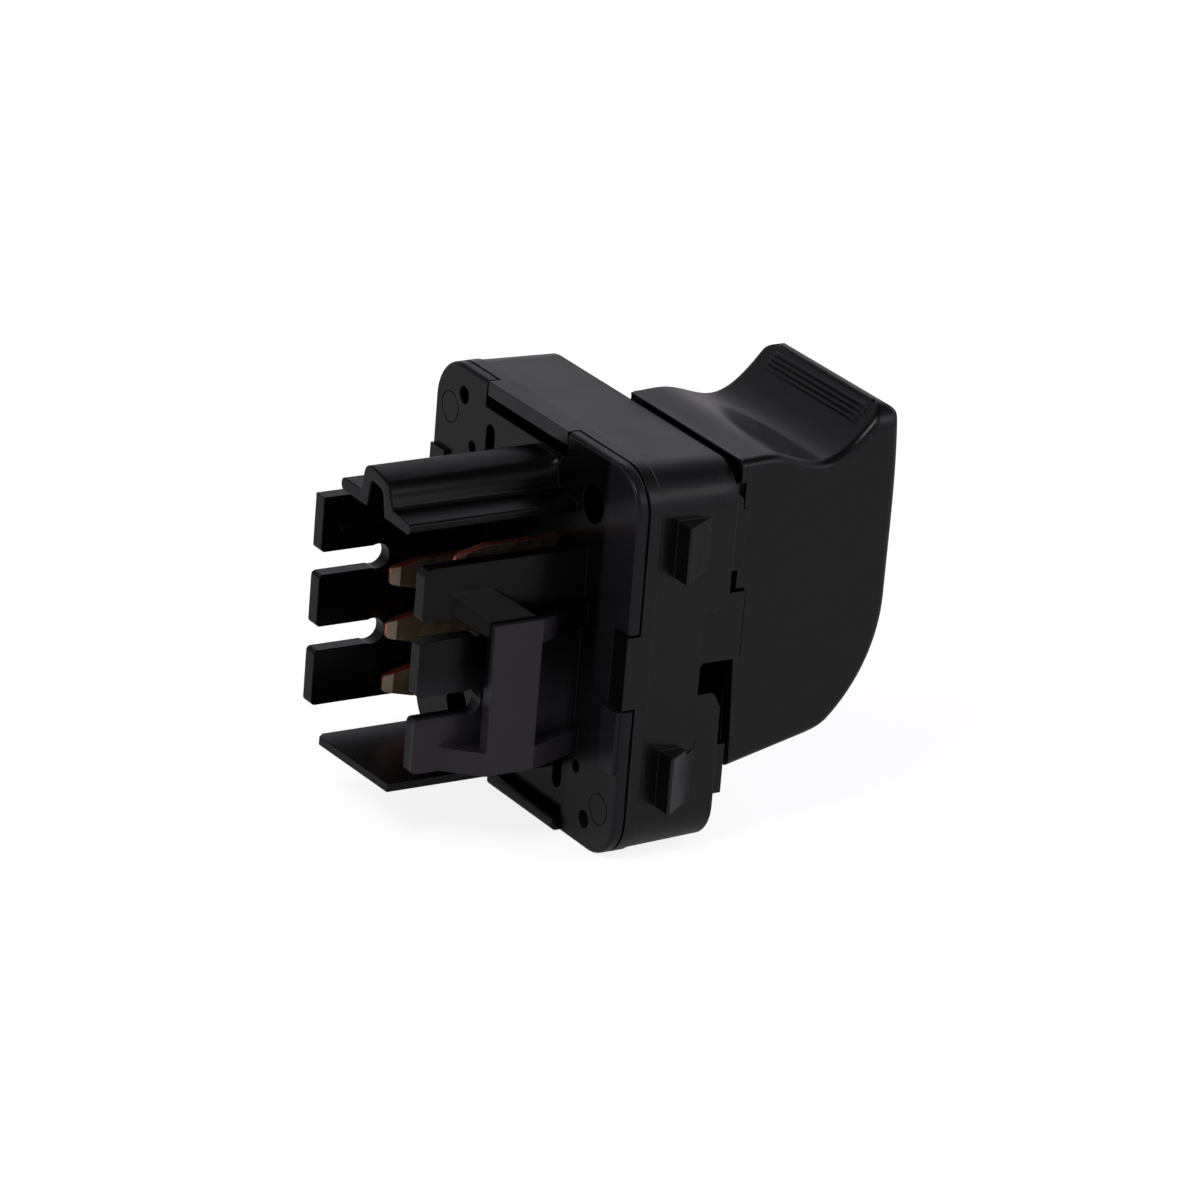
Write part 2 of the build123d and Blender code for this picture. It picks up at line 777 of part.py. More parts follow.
def blade(x, z, tail):
    """Blade terminal with a tapered tip, edge-on to X, reaching inwards to the depth named tail."""
    half = blade_thickness / 2
    with BuildSketch(along(x - half)) as outline:
        with BuildLine():
            Polyline(
                (tail, z - blade_width / 2),
                (blade_taper_start, z - blade_width / 2),
                (blade_tip, z - blade_tip_width / 2),
                (blade_tip, z + blade_tip_width / 2),
                (blade_taper_start, z + blade_width / 2),
                (tail, z + blade_width / 2),
                close=True,
            )
        make_face()
        fillet(outline.vertices().filter_by(lambda v: v.X < blade_tip + 0.1), blade_tip_round)
    extrude(outline.sketch, amount=blade_thickness)
    # both flat faces run in to a thin leading edge
    with BuildSketch(Plane.XY.offset(z - blade_width)) as bevels:
        for side in (1, -1):
            with BuildLine():
                Polyline(
                    (x + side * half, blade_tip + blade_tip_bevel),
                    (x + side * blade_tip_thickness / 2, blade_tip),
                    (x + side * blade_tip_thickness / 2, blade_tip - 0.5),
                    (x + side * (half + 0.5), blade_tip - 0.5),
                    (x + side * (half + 0.5), blade_tip + blade_tip_bevel),
                    close=True,
                )
            make_face()
    extrude(bevels.sketch, amount=2 * blade_width, mode=Mode.SUBTRACT)


def leaf_seat(level):
    """Folded end of a motor terminal: a riser and the pad that the leaf is riveted to."""
    low = level - leaf_width / 2
    high = level + leaf_width / 2
    box_between(pad_edge_x, pad_edge_x + strip, strip_back, leaf_back, low, high)
    box_between(pad_edge_x, leaf_root_x, leaf_back - strip, leaf_back, low, high)
    with Locations(Plane(origin=(rivet_x, leaf_back, level), z_dir=(0, 1, 0))):
        Hole(rivet_diameter / 2, depth=strip)


strip_front = strip_back + strip
bus_front = bus_back + strip

# Battery terminal: its bus lies on the plate and carries both battery contacts
with BuildPart() as terminal_battery:
    blade(far_row_x, battery_z, strip_front)
    box_between(
        far_row_x - blade_thickness / 2, contact_x,
        strip_back, strip_front,
        battery_z - blade_width / 2, battery_z + blade_width / 2,
    )
    box_between(
        contact_x - 1.2, contact_x + 1.2,
        strip_back, strip_front,
        switch_levels["down"] - 1.2, switch_levels["up"] + 1.2,
    )
    for level in switch_levels.values():
        with Locations(Plane(origin=(contact_x, strip_front, level), z_dir=(0, 1, 0))):
            Hole(contact_shank / 2, depth=strip)
terminal_battery.part.label = "terminal_battery"
export_step(terminal_battery.part, "parts/terminal_battery.step")

# Ground terminal: its raised bus bridges over the leaf tips and carries both ground contacts
with BuildPart() as terminal_ground:
    blade(far_row_x, ground_z, bus_front)
    spine_left = post_x - post_width / 2
    spine_right = post_x + post_width / 2
    box_between(
        far_row_x - blade_thickness / 2, spine_right,
        bus_back, bus_front,
        ground_z - blade_width / 2, ground_z + blade_width / 2,
    )
    box_between(
        spine_left, spine_right,
        bus_back, bus_front,
        switch_levels["down"] - bus_half, switch_levels["up"] + bus_half,
    )
    for level in switch_levels.values():
        box_between(
            spine_right, contact_x + bus_half,
            bus_back, bus_front,
            level - bus_half, level + bus_half,
        )
        with Locations(Plane(origin=(contact_x, bus_front, level), z_dir=(0, 1, 0))):
            Hole(contact_shank / 2, depth=strip)
terminal_ground.part.label = "terminal_ground"
export_step(terminal_ground.part, "parts/terminal_ground.step")

# Motor terminals: each runs from its blade to the root of one leaf
with BuildPart() as terminal_motor_up:
    blade(near_row_x, motor_up_z, strip_front)
    box_between(
        near_row_x - blade_thickness / 2, pad_edge_x,
        strip_back, strip_front,
        motor_up_z - blade_width / 2, motor_up_z + blade_width / 2,
    )
    box_between(
        pad_edge_x - 1.8, pad_edge_x,
        strip_back, strip_front,
        motor_up_z - blade_width / 2, switch_levels["up"] + leaf_width / 2,
    )
    leaf_seat(switch_levels["up"])
terminal_motor_up.part.label = "terminal_motor_up"
export_step(terminal_motor_up.part, "parts/terminal_motor_up.step")

with BuildPart() as terminal_motor_down:
    blade(far_row_x, motor_down_z, strip_front)
    run_low = motor_down_z - blade_width / 2 - 0.6
    run_high = run_low + 1.6
    box_between(
        far_row_x - blade_thickness / 2, pad_edge_x,
        strip_back, strip_front,
        run_low, run_high,
    )
    box_between(
        pad_edge_x - 1.8, pad_edge_x,
        strip_back, strip_front,
        run_low, switch_levels["down"] + leaf_width / 2,
    )
    leaf_seat(switch_levels["down"])
terminal_motor_down.part.label = "terminal_motor_down"
export_step(terminal_motor_down.part, "parts/terminal_motor_down.step")


def contact_leaf(level):
    """Flat spring leaf with a rounded tip, a contact hole and a rivet hole."""
    tip_radius = leaf_width / 2
    with BuildSketch(across(leaf_back)) as outline:
        with Locations(((leaf_tip_x + tip_radius + leaf_root_x) / 2, level)):
            Rectangle(leaf_root_x - leaf_tip_x - tip_radius, leaf_width)
        with Locations((leaf_tip_x + tip_radius, level)):
            Circle(tip_radius)
        with Locations((contact_x, level)):
            Circle(contact_shank / 2, mode=Mode.SUBTRACT)
        with Locations((rivet_x, level)):
            Circle(rivet_diameter / 2, mode=Mode.SUBTRACT)
    extrude(outline.sketch, amount=-leaf_thickness)


def turned_pin(x, level, *steps):
    """Pin turned about an axis along Y: each step is (start, end, diameter)."""
    for start, end, diameter in steps:
        with BuildSketch(across(start)) as disc:
            with Locations((x, level)):
                Circle(diameter / 2)
        extrude(disc.sketch, amount=-(end - start))


def leaf_rivet(level):
    """Rivet that clamps a leaf root to its terminal pad."""
    leaf_front = leaf_back + leaf_thickness
    turned_pin(
        rivet_x, level,
        (leaf_back - strip - rivet_head_height, leaf_back - strip, rivet_head),
        (leaf_back - strip, leaf_front, rivet_diameter),
        (leaf_front, leaf_front + rivet_head_height, rivet_head),
    )


def moving_contact(level):
    """Double-faced contact rivet in the tip of a leaf."""
    leaf_front = leaf_back + leaf_thickness
    turned_pin(
        contact_x, level,
        (leaf_back - moving_head, leaf_back, contact_diameter - 0.2),
        (leaf_back, leaf_front, contact_shank),
        (leaf_front, leaf_front + moving_head, contact_diameter - 0.2),
    )


def battery_contact(level):
    """Fixed contact on the battery bus, struck when the leaf is pressed."""
    face = leaf_back - moving_head - contact_opening
    turned_pin(
        contact_x, level,
        (strip_back, strip_front, contact_shank),
        (strip_front, face, contact_diameter),
    )


def ground_contact(level):
    """Fixed contact under the ground bus, where the leaf rests."""
    face = leaf_back + leaf_thickness + moving_head
    turned_pin(
        contact_x, level,
        (face, bus_back, contact_diameter),
        (bus_back, bus_front, contact_shank),
        (bus_front, bus_front + 0.25, contact_shank + 0.6),
    )


def plunger(level):
    """Plunger: head under the rocker's leg, stem through the panel, collar behind it, nose on the leaf."""
    nose_tip = leaf_back + leaf_thickness + touch_gap
    collar_front = panel_back - plunger_collar_drop
    head = plunger_head_diameter / 2
    stem = plunger_diameter / 2
    collar = plunger_collar_diameter / 2
    nose = plunger_nose_diameter / 2
    with BuildSketch(Plane(origin=(plunger_x, 0, level), x_dir=(1, 0, 0), z_dir=(0, 0, 1))) as half_section:
        with BuildLine():
            tip = ThreePointArc((0, nose_tip), (nose * 0.707, nose_tip + nose * 0.293), (nose, nose_tip + nose))
            Polyline(
                tip @ 1,
                (nose, collar_front - 1.0),
                (stem, collar_front - 1.0),
                (collar, collar_front - 0.4),
                (collar, collar_front),
                (stem, collar_front),
                (stem, plunger_head_top - plunger_head_thickness),
                (head, plunger_head_top - plunger_head_thickness),
                (head, plunger_head_top),
                (0, plunger_head_top),
                tip @ 0,
            )
        make_face()
    revolve(half_section.sketch, axis=Axis((plunger_x, 0, level), (0, 1, 0)))


def plunger_spring(level):
    """Coil spring round a plunger's stem, from the panel to the head."""
    start = panel_front + spring_wire / 2
    rise = plunger_head_top - plunger_head_thickness - panel_front - spring_wire
    with BuildLine() as coil:
        Helix(
            rise / spring_turns,
            rise,
            spring_coil_radius,
            center=(plunger_x, start, level),
            direction=(0, 1, 0),
        )
    with BuildSketch(Plane(origin=coil.line @ 0, z_dir=coil.line % 0)) as wire:
        Circle(spring_wire / 2)
    sweep(wire.sketch, path=coil.line, is_frenet=True)


for side, level in switch_levels.items():
    with BuildPart() as leaf_part:
        contact_leaf(level)
    leaf_part.part.label = "contact_leaf_" + side
    export_step(leaf_part.part, "parts/contact_leaf_" + side + ".step")

    with BuildPart() as leaf_rivet_part:
        leaf_rivet(level)
    leaf_rivet_part.part.label = "leaf_rivet_" + side
    export_step(leaf_rivet_part.part, "parts/leaf_rivet_" + side + ".step")

    with BuildPart() as moving_contact_part:
        moving_contact(level)
    moving_contact_part.part.label = "moving_contact_" + side
    export_step(moving_contact_part.part, "parts/moving_contact_" + side + ".step")

    with BuildPart() as battery_contact_part:
        battery_contact(level)
    battery_contact_part.part.label = "battery_contact_" + side
    export_step(battery_contact_part.part, "parts/battery_contact_" + side + ".step")

    with BuildPart() as ground_contact_part:
        ground_contact(level)
    ground_contact_part.part.label = "ground_contact_" + side
    export_step(ground_contact_part.part, "parts/ground_contact_" + side + ".step")

    with BuildPart() as plunger_part:
        plunger(level)
    plunger_part.part.label = "plunger_" + side
    export_step(plunger_part.part, "parts/plunger_" + side + ".step")

    with BuildPart() as plunger_spring_part:
        plunger_spring(level)
    plunger_spring_part.part.label = "plunger_spring_" + side
    export_step(plunger_spring_part.part, "parts/plunger_spring_" + side + ".step")
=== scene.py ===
"""Power window switch: the finishes, fine surface details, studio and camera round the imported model."""

import logging
import math
from abc import ABC, abstractmethod
from dataclasses import dataclass
from enum import Enum
from functools import reduce

import bmesh
import bpy
from mathutils import Matrix, Vector

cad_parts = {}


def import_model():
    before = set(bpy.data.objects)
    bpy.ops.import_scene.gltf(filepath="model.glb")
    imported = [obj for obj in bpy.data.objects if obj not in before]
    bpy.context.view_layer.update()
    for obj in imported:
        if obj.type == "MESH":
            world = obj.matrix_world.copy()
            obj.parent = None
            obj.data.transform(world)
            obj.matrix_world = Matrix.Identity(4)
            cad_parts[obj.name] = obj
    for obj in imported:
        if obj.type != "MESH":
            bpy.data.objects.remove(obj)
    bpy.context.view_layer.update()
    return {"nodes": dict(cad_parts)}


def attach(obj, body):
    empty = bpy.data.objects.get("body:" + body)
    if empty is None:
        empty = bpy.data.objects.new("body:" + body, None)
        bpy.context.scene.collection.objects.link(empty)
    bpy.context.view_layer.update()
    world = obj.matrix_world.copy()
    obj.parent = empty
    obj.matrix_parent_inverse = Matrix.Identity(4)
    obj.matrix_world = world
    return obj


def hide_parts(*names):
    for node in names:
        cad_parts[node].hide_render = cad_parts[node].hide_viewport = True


LOG = logging.getLogger("window_switch")
MM = 0.001
# edges of the added pieces stay sharp above this angle, in degrees
SHARP_ABOVE = 28.0
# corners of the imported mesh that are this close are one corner, in metres
SAME_CORNER = 1e-7
# corners that a cut leaves this close to one another are joined, in metres
CUT_JOIN = 2e-6
# where most values of a noise texture lie
NOISE_MIDDLE = (0.3, 0.7)
WHITE = "#ffffff"

Colour = tuple[float, float, float, float]
Point = tuple[float, float, float]
Span = tuple[float, float]
Tree = bpy.types.NodeTree
Socket = bpy.types.NodeSocket


def linear(hex_colour: str) -> Colour:
    """Turn an sRGB hex colour into linear light.

    Args:
        hex_colour: The colour as "#rrggbb".

    Returns:
        Red, green, blue and an alpha of 1.
    """
    parts = [int(hex_colour[i : i + 2], 16) / 255 for i in (1, 3, 5)]
    red, green, blue = (c / 12.92 if c <= 0.04045 else ((c + 0.055) / 1.055) ** 2.4 for c in parts)
    return (red, green, blue, 1.0)


def in_metres(*lengths_mm: float) -> tuple[float, ...]:
    """Lengths in metres, from millimetres."""
    return tuple(length * MM for length in lengths_mm)


def per_metre(size_mm: float) -> float:
    """Texture scale at which one repeat is size_mm long."""
    return 1.0 / (size_mm * MM)


def share_between(value: float, begin: float, end: float) -> float:
    """How far a value has come from begin to end, held between 0 and 1."""
    return min(max((value - begin) / (end - begin), 0.0), 1.0)


def empty_tree(owner: bpy.types.Material | bpy.types.World) -> Tree:
    """Switch on a material's or world's nodes and clear them."""
    owner.use_nodes = True
    owner.node_tree.nodes.clear()
    return owner.node_tree


def add_node(tree: Tree, kind: str, inputs: dict | None = None, **attributes: object) -> bpy.types.Node:
    """Add one shader node.

    Args:
        tree: The node tree that gets it.
        kind: The node's type name, without its "ShaderNode" prefix.
        inputs: Values, or output sockets to link, by the input's name or number.
        attributes: Attributes of the node itself.

    Returns:
        The new node.
    """
    node = tree.nodes.new("ShaderNode" + kind)
    for name, value in attributes.items():
        setattr(node, name, value)
    for name, value in (inputs or {}).items():
        if isinstance(value, Socket):
            tree.links.new(value, node.inputs[name])
        else:
            node.inputs[name].default_value = value
    return node


def ramp(tree: Tree, value: Socket, source: Span = (0.0, 1.0), target: tuple = (0.0, 1.0)) -> Socket:
    """Map a value from one span to another, held at the ends.

    Args:
        tree: The node tree that needs it.
        value: The value to map.
        source: Where the value's span begins and ends.
        target: What the ends become, each a number or a socket.

    Returns:
        The socket that carries the mapped value.
    """
    ends = dict(zip(("From Min", "From Max", "To Min", "To Max"), (*source, *target)))
    return add_node(tree, "MapRange", {"Value": value, **ends}).outputs["Result"]


def combine(tree: Tree, operation: str, one: Socket, other: Socket | float) -> Socket:
    """Join two values by an operation of the Math node."""
    return add_node(tree, "Math", {0: one, 1: other}, operation=operation).outputs[0]


def mix_colours(tree: Tree, share: Socket, one: Socket | Colour, other: Socket | Colour) -> Socket:
    """Blend two colours, the other one by its share."""
    return add_node(tree, "Mix", {0: share, 6: one, 7: other}, data_type="RGBA").outputs[2]


def object_from(form: bmesh.types.BMesh, name: str) -> bpy.types.Object:
    """Turn a finished bmesh into an object of the scene, and free it.

    Args:
        form: The bmesh.
        name: Object name.

    Returns:
        The new object.
    """
    mesh = bpy.data.meshes.new(name)
    form.to_mesh(mesh)
    form.free()
    made = bpy.data.objects.new(name, mesh)
    bpy.context.scene.collection.objects.link(made)
    return made


def both(*names: str) -> tuple[str, ...]:
    """The up side's and the down side's node of each name."""
    return tuple(f"{name}_{side}" for name in names for side in ("up", "down"))


class SurfaceMark(Enum):
    """What the tool left on a moulded skin."""

    SPARK_GRAIN = "fine spark-eroded grain all over"
    # painted light: the latch bar and the lowest finger are painted lighter, with painted shade towards the
    # plate; the relief is as polished
    POLISHED_WITH_PAINTED_LIGHT = "grain on the latch bar and the lowest finger, polish elsewhere"
    POLISHED = "polished tool all over"


@dataclass(frozen=True)
class RoundedZone:
    """A region whose edges were rounded by more or less than the rest of the moulding's.

    Attributes:
        ramps: Axis, and the millimetres at which the zone begins and is full.
        radius_mm: Radius of the edges there.
    """

    ramps: tuple[tuple[str, float, float], ...]
    radius_mm: float

    def radius(self, tree: Tree, place: Socket, elsewhere_mm: float) -> Socket:
        """Edge radius in metres, another one inside the zone.

        Args:
            tree: The node tree that needs it.
            place: Object coordinates in metres.
            elsewhere_mm: Radius outside the zone.

        Returns:
            The socket that carries it.
        """
        axes = add_node(tree, "SeparateXYZ", {"Vector": place})
        radii = [
            ramp(tree, axes.outputs[axis], in_metres(begin, full), in_metres(elsewhere_mm, self.radius_mm))
            for axis, begin, full in self.ramps
        ]
        inside = "MINIMUM" if self.radius_mm > elsewhere_mm else "MAXIMUM"
        return reduce(lambda one, other: combine(tree, inside, one, other), radii)


@dataclass(frozen=True)
class PaintedLightZone:
    """Painted light on the rear moulding: the latch bar and the lowest finger are painted lighter, with
    painted shade towards the plate.

    Attributes:
        bar_x: X at which the latch bar begins and is full, in millimetres.
        wall_x: X at which the near wall begins and is full.
        finger_z: Z from which the finger's painted light fades out, and where it ends.
        finger_light_share: Share of that painted light at those two heights.
        shroud_y: Y from which the painted light fades towards the plate as painted shade, and where it ends.
        shroud_light_share: Share of the painted light at those two places.
        uneven: Least and greatest share that the melt's flow gives it.
    """

    bar_x: Span = (11.6, 12.3)
    wall_x: Span = (8.8, 9.4)
    finger_z: Span = (12.0, 17.5)
    finger_light_share: Span = (0.85, 0.0)
    shroud_y: Span = (-1.2, -0.2)
    shroud_light_share: Span = (1.0, 0.3)
    uneven: Span = (0.9, 1.08)

    def share(self, tree: Tree, place: Socket, flow: Socket) -> Socket:
        """How much painted light shows at a place.

        Args:
            tree: The node tree that needs it.
            place: Object coordinates in metres.
            flow: Noise of the melt's flow.

        Returns:
            The socket that carries it.
        """
        axes = add_node(tree, "SeparateXYZ", {"Vector": place}).outputs
        bar = ramp(tree, axes["X"], in_metres(*self.bar_x))
        low = ramp(tree, axes["Z"], in_metres(*self.finger_z), self.finger_light_share)
        wall = ramp(tree, axes["X"], in_metres(*self.wall_x))
        shroud = ramp(tree, axes["Y"], in_metres(*self.shroud_y), self.shroud_light_share)
        # painted light on the latch bar and the lowest finger, fading as painted shade towards the plate
        either = combine(tree, "MAXIMUM", combine(tree, "MULTIPLY", low, wall), bar)
        zone = combine(tree, "MULTIPLY", either, shroud)
        return combine(tree, "MULTIPLY", ramp(tree, flow, target=self.uneven), zone)


@dataclass(frozen=True)
class Dust:
    """A few pale specks, about 0.1 mm across, on a dark skin.

    Attributes:
        apart_mm: Size of the cells, of which each holds one speck at most.
        rim: Where a speck's soft rim begins and ends, as a share of the cell.
        bare: Share of the cells that stay clean.
    """

    apart_mm: float = 3.2
    rim: Span = (0.012, 0.022)
    bare: float = 0.8

    def share(self, tree: Tree, place: Socket) -> Socket:
        """One on a speck and zero elsewhere.

        Args:
            tree: The node tree that needs it.
            place: Object coordinates in metres.

        Returns:
            The socket that carries it.
        """
        size = per_metre(self.apart_mm)
        cells = add_node(tree, "TexVoronoi", {"Vector": place, "Scale": size, "Randomness": 1.0})
        speck = ramp(tree, cells.outputs["Distance"], self.rim, (1.0, 0.0))
        chance = add_node(tree, "SeparateColor", {"Color": cells.outputs["Color"]})
        picked = combine(tree, "GREATER_THAN", chance.outputs["Red"], self.bare)
        return combine(tree, "MULTIPLY", speck, picked)


@dataclass(frozen=True)
class Finish(ABC):
    """A procedural finish.

    Attributes:
        name: Material name.
    """

    name: str

    @abstractmethod
    def skin(self, tree: Tree, place: Socket) -> Socket:
        """Shader of the surface, from its object coordinates in metres."""

    def material(self) -> bpy.types.Material:
        """Build the node material."""
        material = bpy.data.materials.new(self.name)
        tree = empty_tree(material)
        place = add_node(tree, "TexCoord").outputs["Object"]
        add_node(tree, "OutputMaterial", {"Surface": self.skin(tree, place)})
        return material


@dataclass(frozen=True)
class MouldedPlastic(Finish):
    """Injection-moulded plastic: an even skin that mirrors pale surroundings softly.

    Attributes:
        colour: Body colour where the tool was polished.
        grain_and_painted_light: Body colour of the faint clouds in the skin; on the rear moulding, the
            painted light of the latch bar and the lowest finger.
        dust_colour: Colour of the few dust specks on it.
        roughness: Middle roughness of the skin.
        uneven_gloss: How far the melt's flow takes the roughness down and up.
        flow_mm: Size of the clouds that the melt's flow leaves.
        specular: Specular level.
        grain_mm: Size of the tool's grain, drawn a little coarse so that it shows.
        grain_depth_mm: Depth of that grain.
        mark: How the tool's surface was finished; one mark also paints light onto the rear moulding's latch
            bar and lowest finger.
        corner_mm: Radius of the moulded corners that are too small for the solid.
        zone: Where the corners are rounder than that, or sharper.
    """

    colour: str
    grain_and_painted_light: str
    dust_colour: str = "#8d8688"
    roughness: float = 0.3
    uneven_gloss: Span = (-0.05, 0.06)
    flow_mm: float = 7.0
    specular: float = 0.5
    grain_mm: float = 0.3
    grain_depth_mm: float = 0.004
    mark: SurfaceMark = SurfaceMark.SPARK_GRAIN
    corner_mm: float = 0.12
    zone: RoundedZone | None = None

    def skin(self, tree: Tree, place: Socket) -> Socket:
        """Shader of the moulded surface.

        Args:
            tree: The node tree that needs it.
            place: Object coordinates in metres.

        Returns:
            The shader's socket.
        """
        clouds = {"Vector": place, "Scale": per_metre(self.flow_mm), "Detail": 3.0}
        flow = add_node(tree, "TexNoise", clouds).outputs["Fac"]
        fine = {"Vector": place, "Scale": per_metre(self.grain_mm), "Detail": 2.0}
        grain = add_node(tree, "TexNoise", fine).outputs["Fac"]
        down, up = self.uneven_gloss
        rough = ramp(tree, flow, NOISE_MIDDLE, (self.roughness + down, self.roughness + up))
        # faint cloudiness keeps the black from being one flat value; on the rear moulding the lighter colour
        # is painted light instead, on the latch bar and the lowest finger
        share = flow
        if self.mark is SurfaceMark.POLISHED_WITH_PAINTED_LIGHT:
            share = PaintedLightZone().share(tree, place, flow)
        shade = mix_colours(tree, share, linear(self.colour), linear(self.grain_and_painted_light))
        tint = mix_colours(tree, Dust().share(tree, place), shade, linear(self.dust_colour))
        radius = self.zone.radius(tree, place, self.corner_mm) if self.zone else self.corner_mm * MM
        corner = add_node(tree, "Bevel", {"Radius": radius}, samples=8)
        relief = {
            "Strength": 0.15 if self.mark is SurfaceMark.SPARK_GRAIN else 0.08,
            "Distance": self.grain_depth_mm * MM,
            "Height": grain,
            "Normal": corner.outputs["Normal"],
        }
        body = {
            "Specular IOR Level": self.specular,
            "IOR": 1.5,
            "Base Color": tint,
            "Roughness": rough,
            "Normal": add_node(tree, "Bump", relief).outputs["Normal"],
        }
        return add_node(tree, "BsdfPrincipled", body).outputs["BSDF"]


@dataclass(frozen=True)
class RolledMetal(Finish):
    """Strip or wire metal: fine marks along one direction, duller faces and bright cut edges.

    Attributes:
        face: Colour of the rolled face.
        tarnish: Colour of the stained patches on it.
        cut: Colour of the sheared edges.
        bevel: Colour of the coined bevels at a blade's tip.
        roughness: Middle roughness.
        uneven_gloss: How far the rolling lines take the roughness down and up.
        line_mm: Spacing of the rolling lines.
        line_depth_mm: Depth of those lines.
        stretch: How much longer than wide the lines are, along X, Y and Z.
        stain_mm: Size of the stained patches.
        stain_from: Noise values at which a stain begins and is full.
        sheared_below: How squarely a face looks along X where it starts to be a cut edge, and is one fully.
        coined_below: The same for the tip's bevels, which lean about fifteen degrees out of the face.
        corner_mm: Radius of the worn edges.
    """

    face: str
    tarnish: str
    cut: str
    bevel: str = ""
    roughness: float = 0.3
    uneven_gloss: Span = (-0.07, 0.12)
    line_mm: float = 0.25
    line_depth_mm: float = 0.004
    stretch: Point = (1.0, 0.06, 1.0)
    stain_mm: float = 1.6
    stain_from: Span = (0.42, 0.66)
    sheared_below: Span = (0.75, 0.35)
    coined_below: Span = (0.99, 0.975)
    corner_mm: float = 0.06

    def skin(self, tree: Tree, place: Socket) -> Socket:
        """Shader of the metal.

        Args:
            tree: The node tree that needs it.
            place: Object coordinates in metres.

        Returns:
            The shader's socket.
        """
        drawn = add_node(tree, "Mapping", {"Scale": self.stretch, "Vector": place}).outputs["Vector"]
        rolled = {"Vector": drawn, "Scale": per_metre(self.line_mm), "Detail": 4.0}
        lines = add_node(tree, "TexNoise", rolled).outputs["Fac"]
        patches = {"Vector": place, "Scale": per_metre(self.stain_mm), "Detail": 5.0}
        stain = ramp(tree, add_node(tree, "TexNoise", patches).outputs["Fac"], self.stain_from)
        face = mix_colours(tree, stain, linear(self.face), linear(self.tarnish))
        # the strip's flat faces look along X; what looks another way was sheared and is bare
        normal = add_node(tree, "SeparateXYZ", {"Vector": add_node(tree, "NewGeometry").outputs["Normal"]})
        flatness = add_node(tree, "Math", {0: normal.outputs["X"]}, operation="ABSOLUTE").outputs[0]
        sheared = ramp(tree, flatness, self.sheared_below[::-1], (1.0, 0.0))
        coined = ramp(tree, flatness, self.coined_below[::-1], (1.0, 0.0))
        flats = mix_colours(tree, coined, face, linear(self.bevel or self.face))
        tint = mix_colours(tree, sheared, flats, linear(self.cut))
        down, up = self.uneven_gloss
        corner = add_node(tree, "Bevel", {"Radius": self.corner_mm * MM}, samples=6)
        relief = {
            "Strength": 0.35,
            "Distance": self.line_depth_mm * MM,
            "Height": lines,
            "Normal": corner.outputs["Normal"],
        }
        body = {
            "Metallic": 1.0,
            "Base Color": tint,
            "Roughness": ramp(tree, lines, target=(self.roughness + down, self.roughness + up)),
            "Normal": add_node(tree, "Bump", relief).outputs["Normal"],
        }
        return add_node(tree, "BsdfPrincipled", body).outputs["BSDF"]


BEAK_CORNER = RoundedZone((("X", 12.5, 14.5), ("Y", 20.0, 22.5), ("Z", 34.5, 36.5)), radius_mm=0.7)
ROOF_HUMP = RoundedZone((("Y", -0.3, -1.2), ("Z", 29.6, 30.6)), radius_mm=0.35)
RIM_SEAM = RoundedZone((("X", 14.3, 14.9), ("Y", 8.6, 8.95), ("Z", 30.9, 31.2)), radius_mm=0.01)
CASE_BLACK = MouldedPlastic(
    "abs_moulded_case", colour="#070707", grain_and_painted_light="#0c0b0c", roughness=0.26, zone=RIM_SEAM
)
ROCKER_BLACK = MouldedPlastic(
    "abs_moulded_rocker", colour="#080808", grain_and_painted_light="#0c0b0c", roughness=0.24, zone=BEAK_CORNER
)
BASE_BLACK = MouldedPlastic(
    "polyamide_moulded_base",
    colour="#050505",
    # painted light: the rear moulding's latch bar and lowest finger take this much lighter colour
    grain_and_painted_light="#3f3c40",
    roughness=0.26,
    specular=0.3,
    mark=SurfaceMark.POLISHED_WITH_PAINTED_LIGHT,
    zone=ROOF_HUMP,
)
ACETAL = MouldedPlastic(
    "acetal_moulded_plunger",
    colour="#d9d4c8",
    grain_and_painted_light="#d2cdc0",
    dust_colour="#8a857c",
    mark=SurfaceMark.POLISHED,
)
BRASS_STRIP = RolledMetal(
    "brass_stamped_strip", face="#dcc096", tarnish="#b9a47c", cut="#ff8a5a", bevel="#ffeccf", roughness=0.42
)
LEAF_BRONZE = RolledMetal(
    "phosphor_bronze_rolled_leaf", face="#c08a58", tarnish="#a5784e", cut="#cf9160", stretch=(0.06, 1, 1)
)
RIVET_BRASS = RolledMetal(
    "brass_headed_rivet", face="#c2a566", tarnish="#a48c58", cut="#c9ad70", stretch=(1, 1, 1)
)
CONTACT_SILVER = RolledMetal(
    "silver_faced_contact", face="#d8d7d2", tarnish="#b5b3aa", cut="#d8d7d2", stretch=(1, 1, 1)
)
SPRING_WIRE = RolledMetal(
    "music_wire_drawn", face="#b9bbbd", tarnish="#9b9da0", cut="#b9bbbd", stretch=(1, 1, 1)
)


@dataclass(frozen=True)
class Dressing:
    """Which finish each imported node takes.

    Attributes:
        finishes: Each finish with the names of its nodes.
    """

    finishes: tuple[tuple[Finish, tuple[str, ...]], ...] = (
        (CASE_BLACK, ("housing",)),
        (ROCKER_BLACK, ("rocker",)),
        (BASE_BLACK, ("base",)),
        (ACETAL, both("plunger")),
        (BRASS_STRIP, ("terminal_battery", "terminal_ground", *both("terminal_motor"))),
        (LEAF_BRONZE, both("contact_leaf")),
        (RIVET_BRASS, both("leaf_rivet")),
        (CONTACT_SILVER, both("moving_contact", "battery_contact", "ground_contact")),
        (SPRING_WIRE, both("plunger_spring")),
    )

    def apply(self, nodes: dict[str, bpy.types.Object]) -> dict[str, bpy.types.Material]:
        """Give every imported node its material.

        Args:
            nodes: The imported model's objects by name.

        Returns:
            The materials by their finish's name.
        """
        made = {}
        for finish, names in self.finishes:
            material = made[finish.name] = finish.material()
            for name in names:
                slots = nodes[name].data.materials
                slots.clear()
                slots.append(material)
                LOG.info("%s: %s", name, finish.name)
        return made


